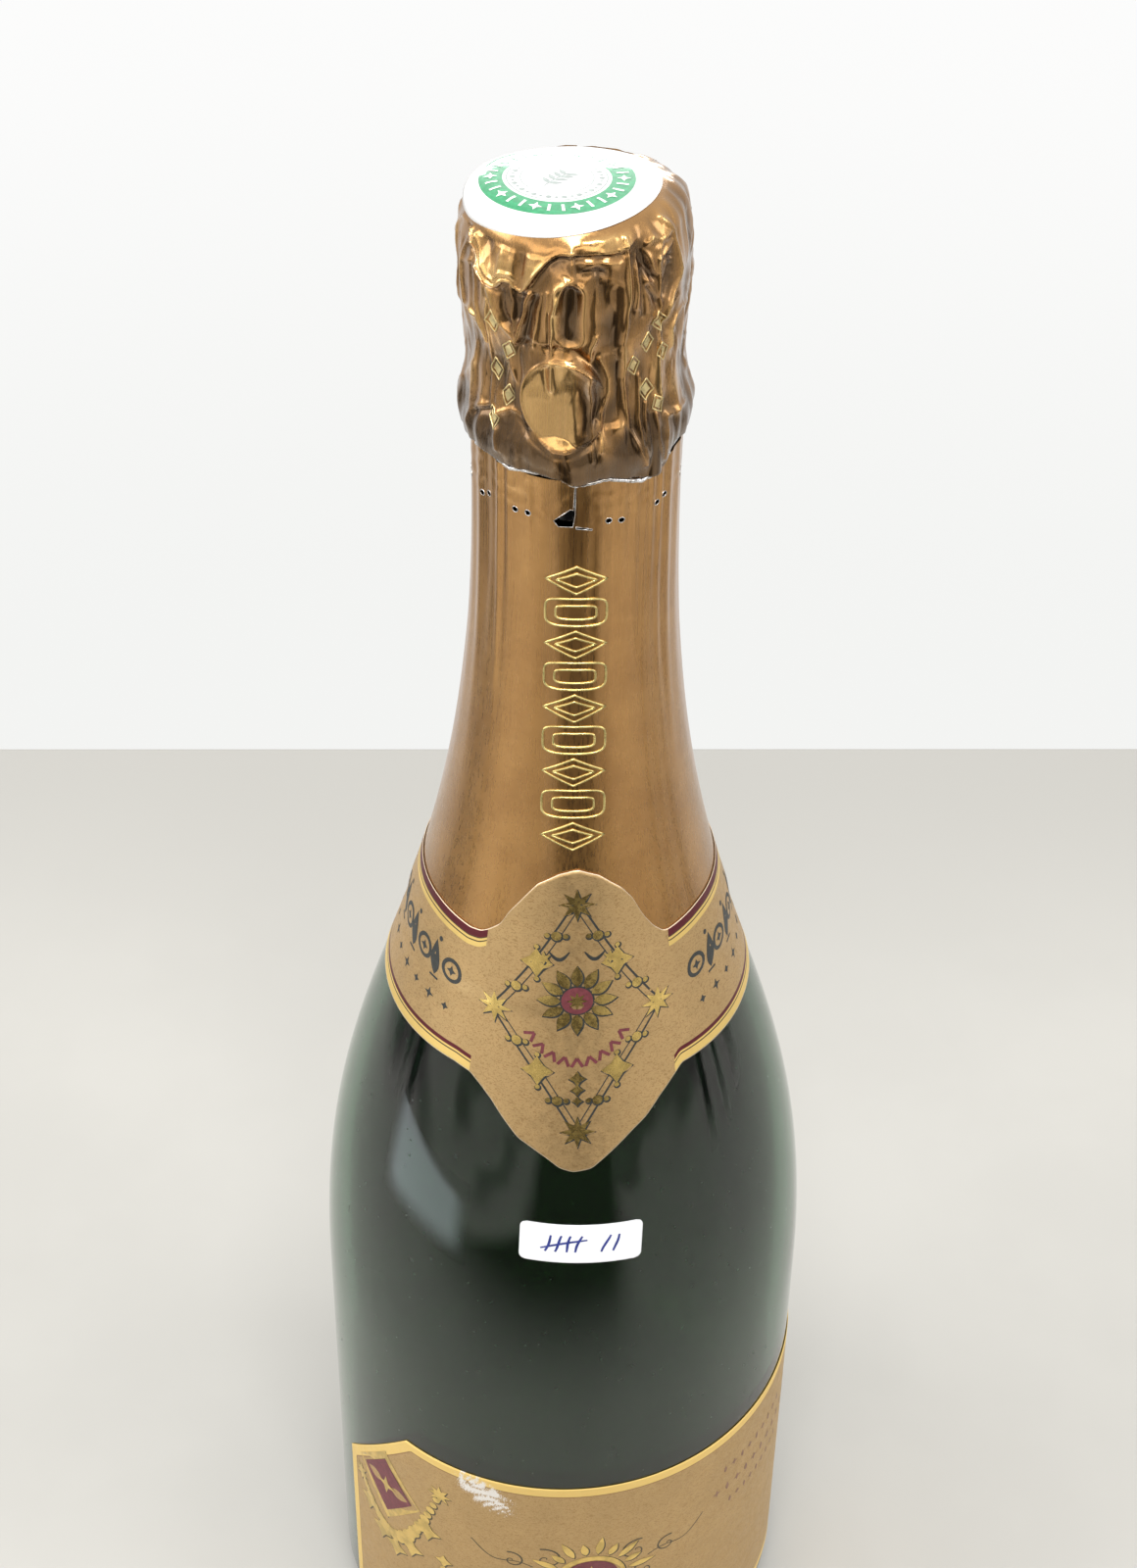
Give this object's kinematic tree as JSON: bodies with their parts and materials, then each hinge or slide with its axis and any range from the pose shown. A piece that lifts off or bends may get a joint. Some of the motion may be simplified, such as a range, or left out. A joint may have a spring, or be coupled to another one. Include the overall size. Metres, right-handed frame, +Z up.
{
  "type": "champagne bottle",
  "caption": "Sealed sparkling-wine bottle with a punted base, a mushroom cork, a wire cage that lifts off and a foil capsule.",
  "frame": {"origin": "centre of the base, on the ring that the bottle stands on", "axes": "+Z up along the bottle's axis, -Y towards the printed front, +X to the right of the front"},
  "size_m": [0.0877, 0.0877, 0.3205],
  "materials": {
    "glass_green": "polished dark green bottle glass",
    "wine_gold": "clear pale gold liquid",
    "cork_grain": "pressed cork granules",
    "cork_natural": "natural cork",
    "plate_metal": "lacquered tinplate",
    "steel_wire": "bright galvanised wire",
    "foil_bronze": "crumpled bronze-lacquered foil with gold print",
    "paper_gold": "metallised label paper with burgundy and gold bands",
    "paper_tan": "metallised tan label paper with a gold border",
    "paper_white": "white coated paper"
  },
  "bodies": {
    "bottle": {"glass_bottle": "glass_green", "wine": "wine_gold", "foil_skirt": "foil_bronze", "tear_strip": "foil_bronze", "collar_label": "paper_gold", "front_label": "paper_tan", "sticker": "paper_white"},
    "cork": {"cork_body": "cork_grain", "cork_disc_upper": "cork_natural", "cork_disc_lower": "cork_natural"},
    "cage": {"cage_plate": "plate_metal", "cage_wire": "steel_wire", "cage_belt": "steel_wire"},
    "loop": {"twist_loop": "steel_wire"},
    "hood": {"foil_hood": "foil_bronze", "cap_stamp": "paper_white"}
  },
  "joints": [
    {"name": "cork_pull", "type": "slide", "parent": "bottle", "child": "cork", "axis": [0, 0, 1], "range_m": [0, 0.03]},
    {"name": "cage_lift", "type": "slide", "parent": "cork", "child": "cage", "axis": [0, 0, 1], "range_m": [0, 0.045], "deforming": ["cage_belt"]},
    {"name": "hood_lift", "type": "slide", "parent": "cage", "child": "hood", "axis": [0, 0, 1], "range_m": [0, 0.06], "deforming": ["foil_hood"]},
    {"name": "loop_swing", "type": "hinge", "parent": "cage", "child": "loop", "pos_m": [-0.00162, -0.01682, 0.2802], "axis": [0.9954, -0.0958, 0], "range_deg": [0, 95]}
  ],
  "couplings": [
    {"joint": "loop_swing", "follows": "hood_lift", "rad_per_m": 27.6}
  ]
}
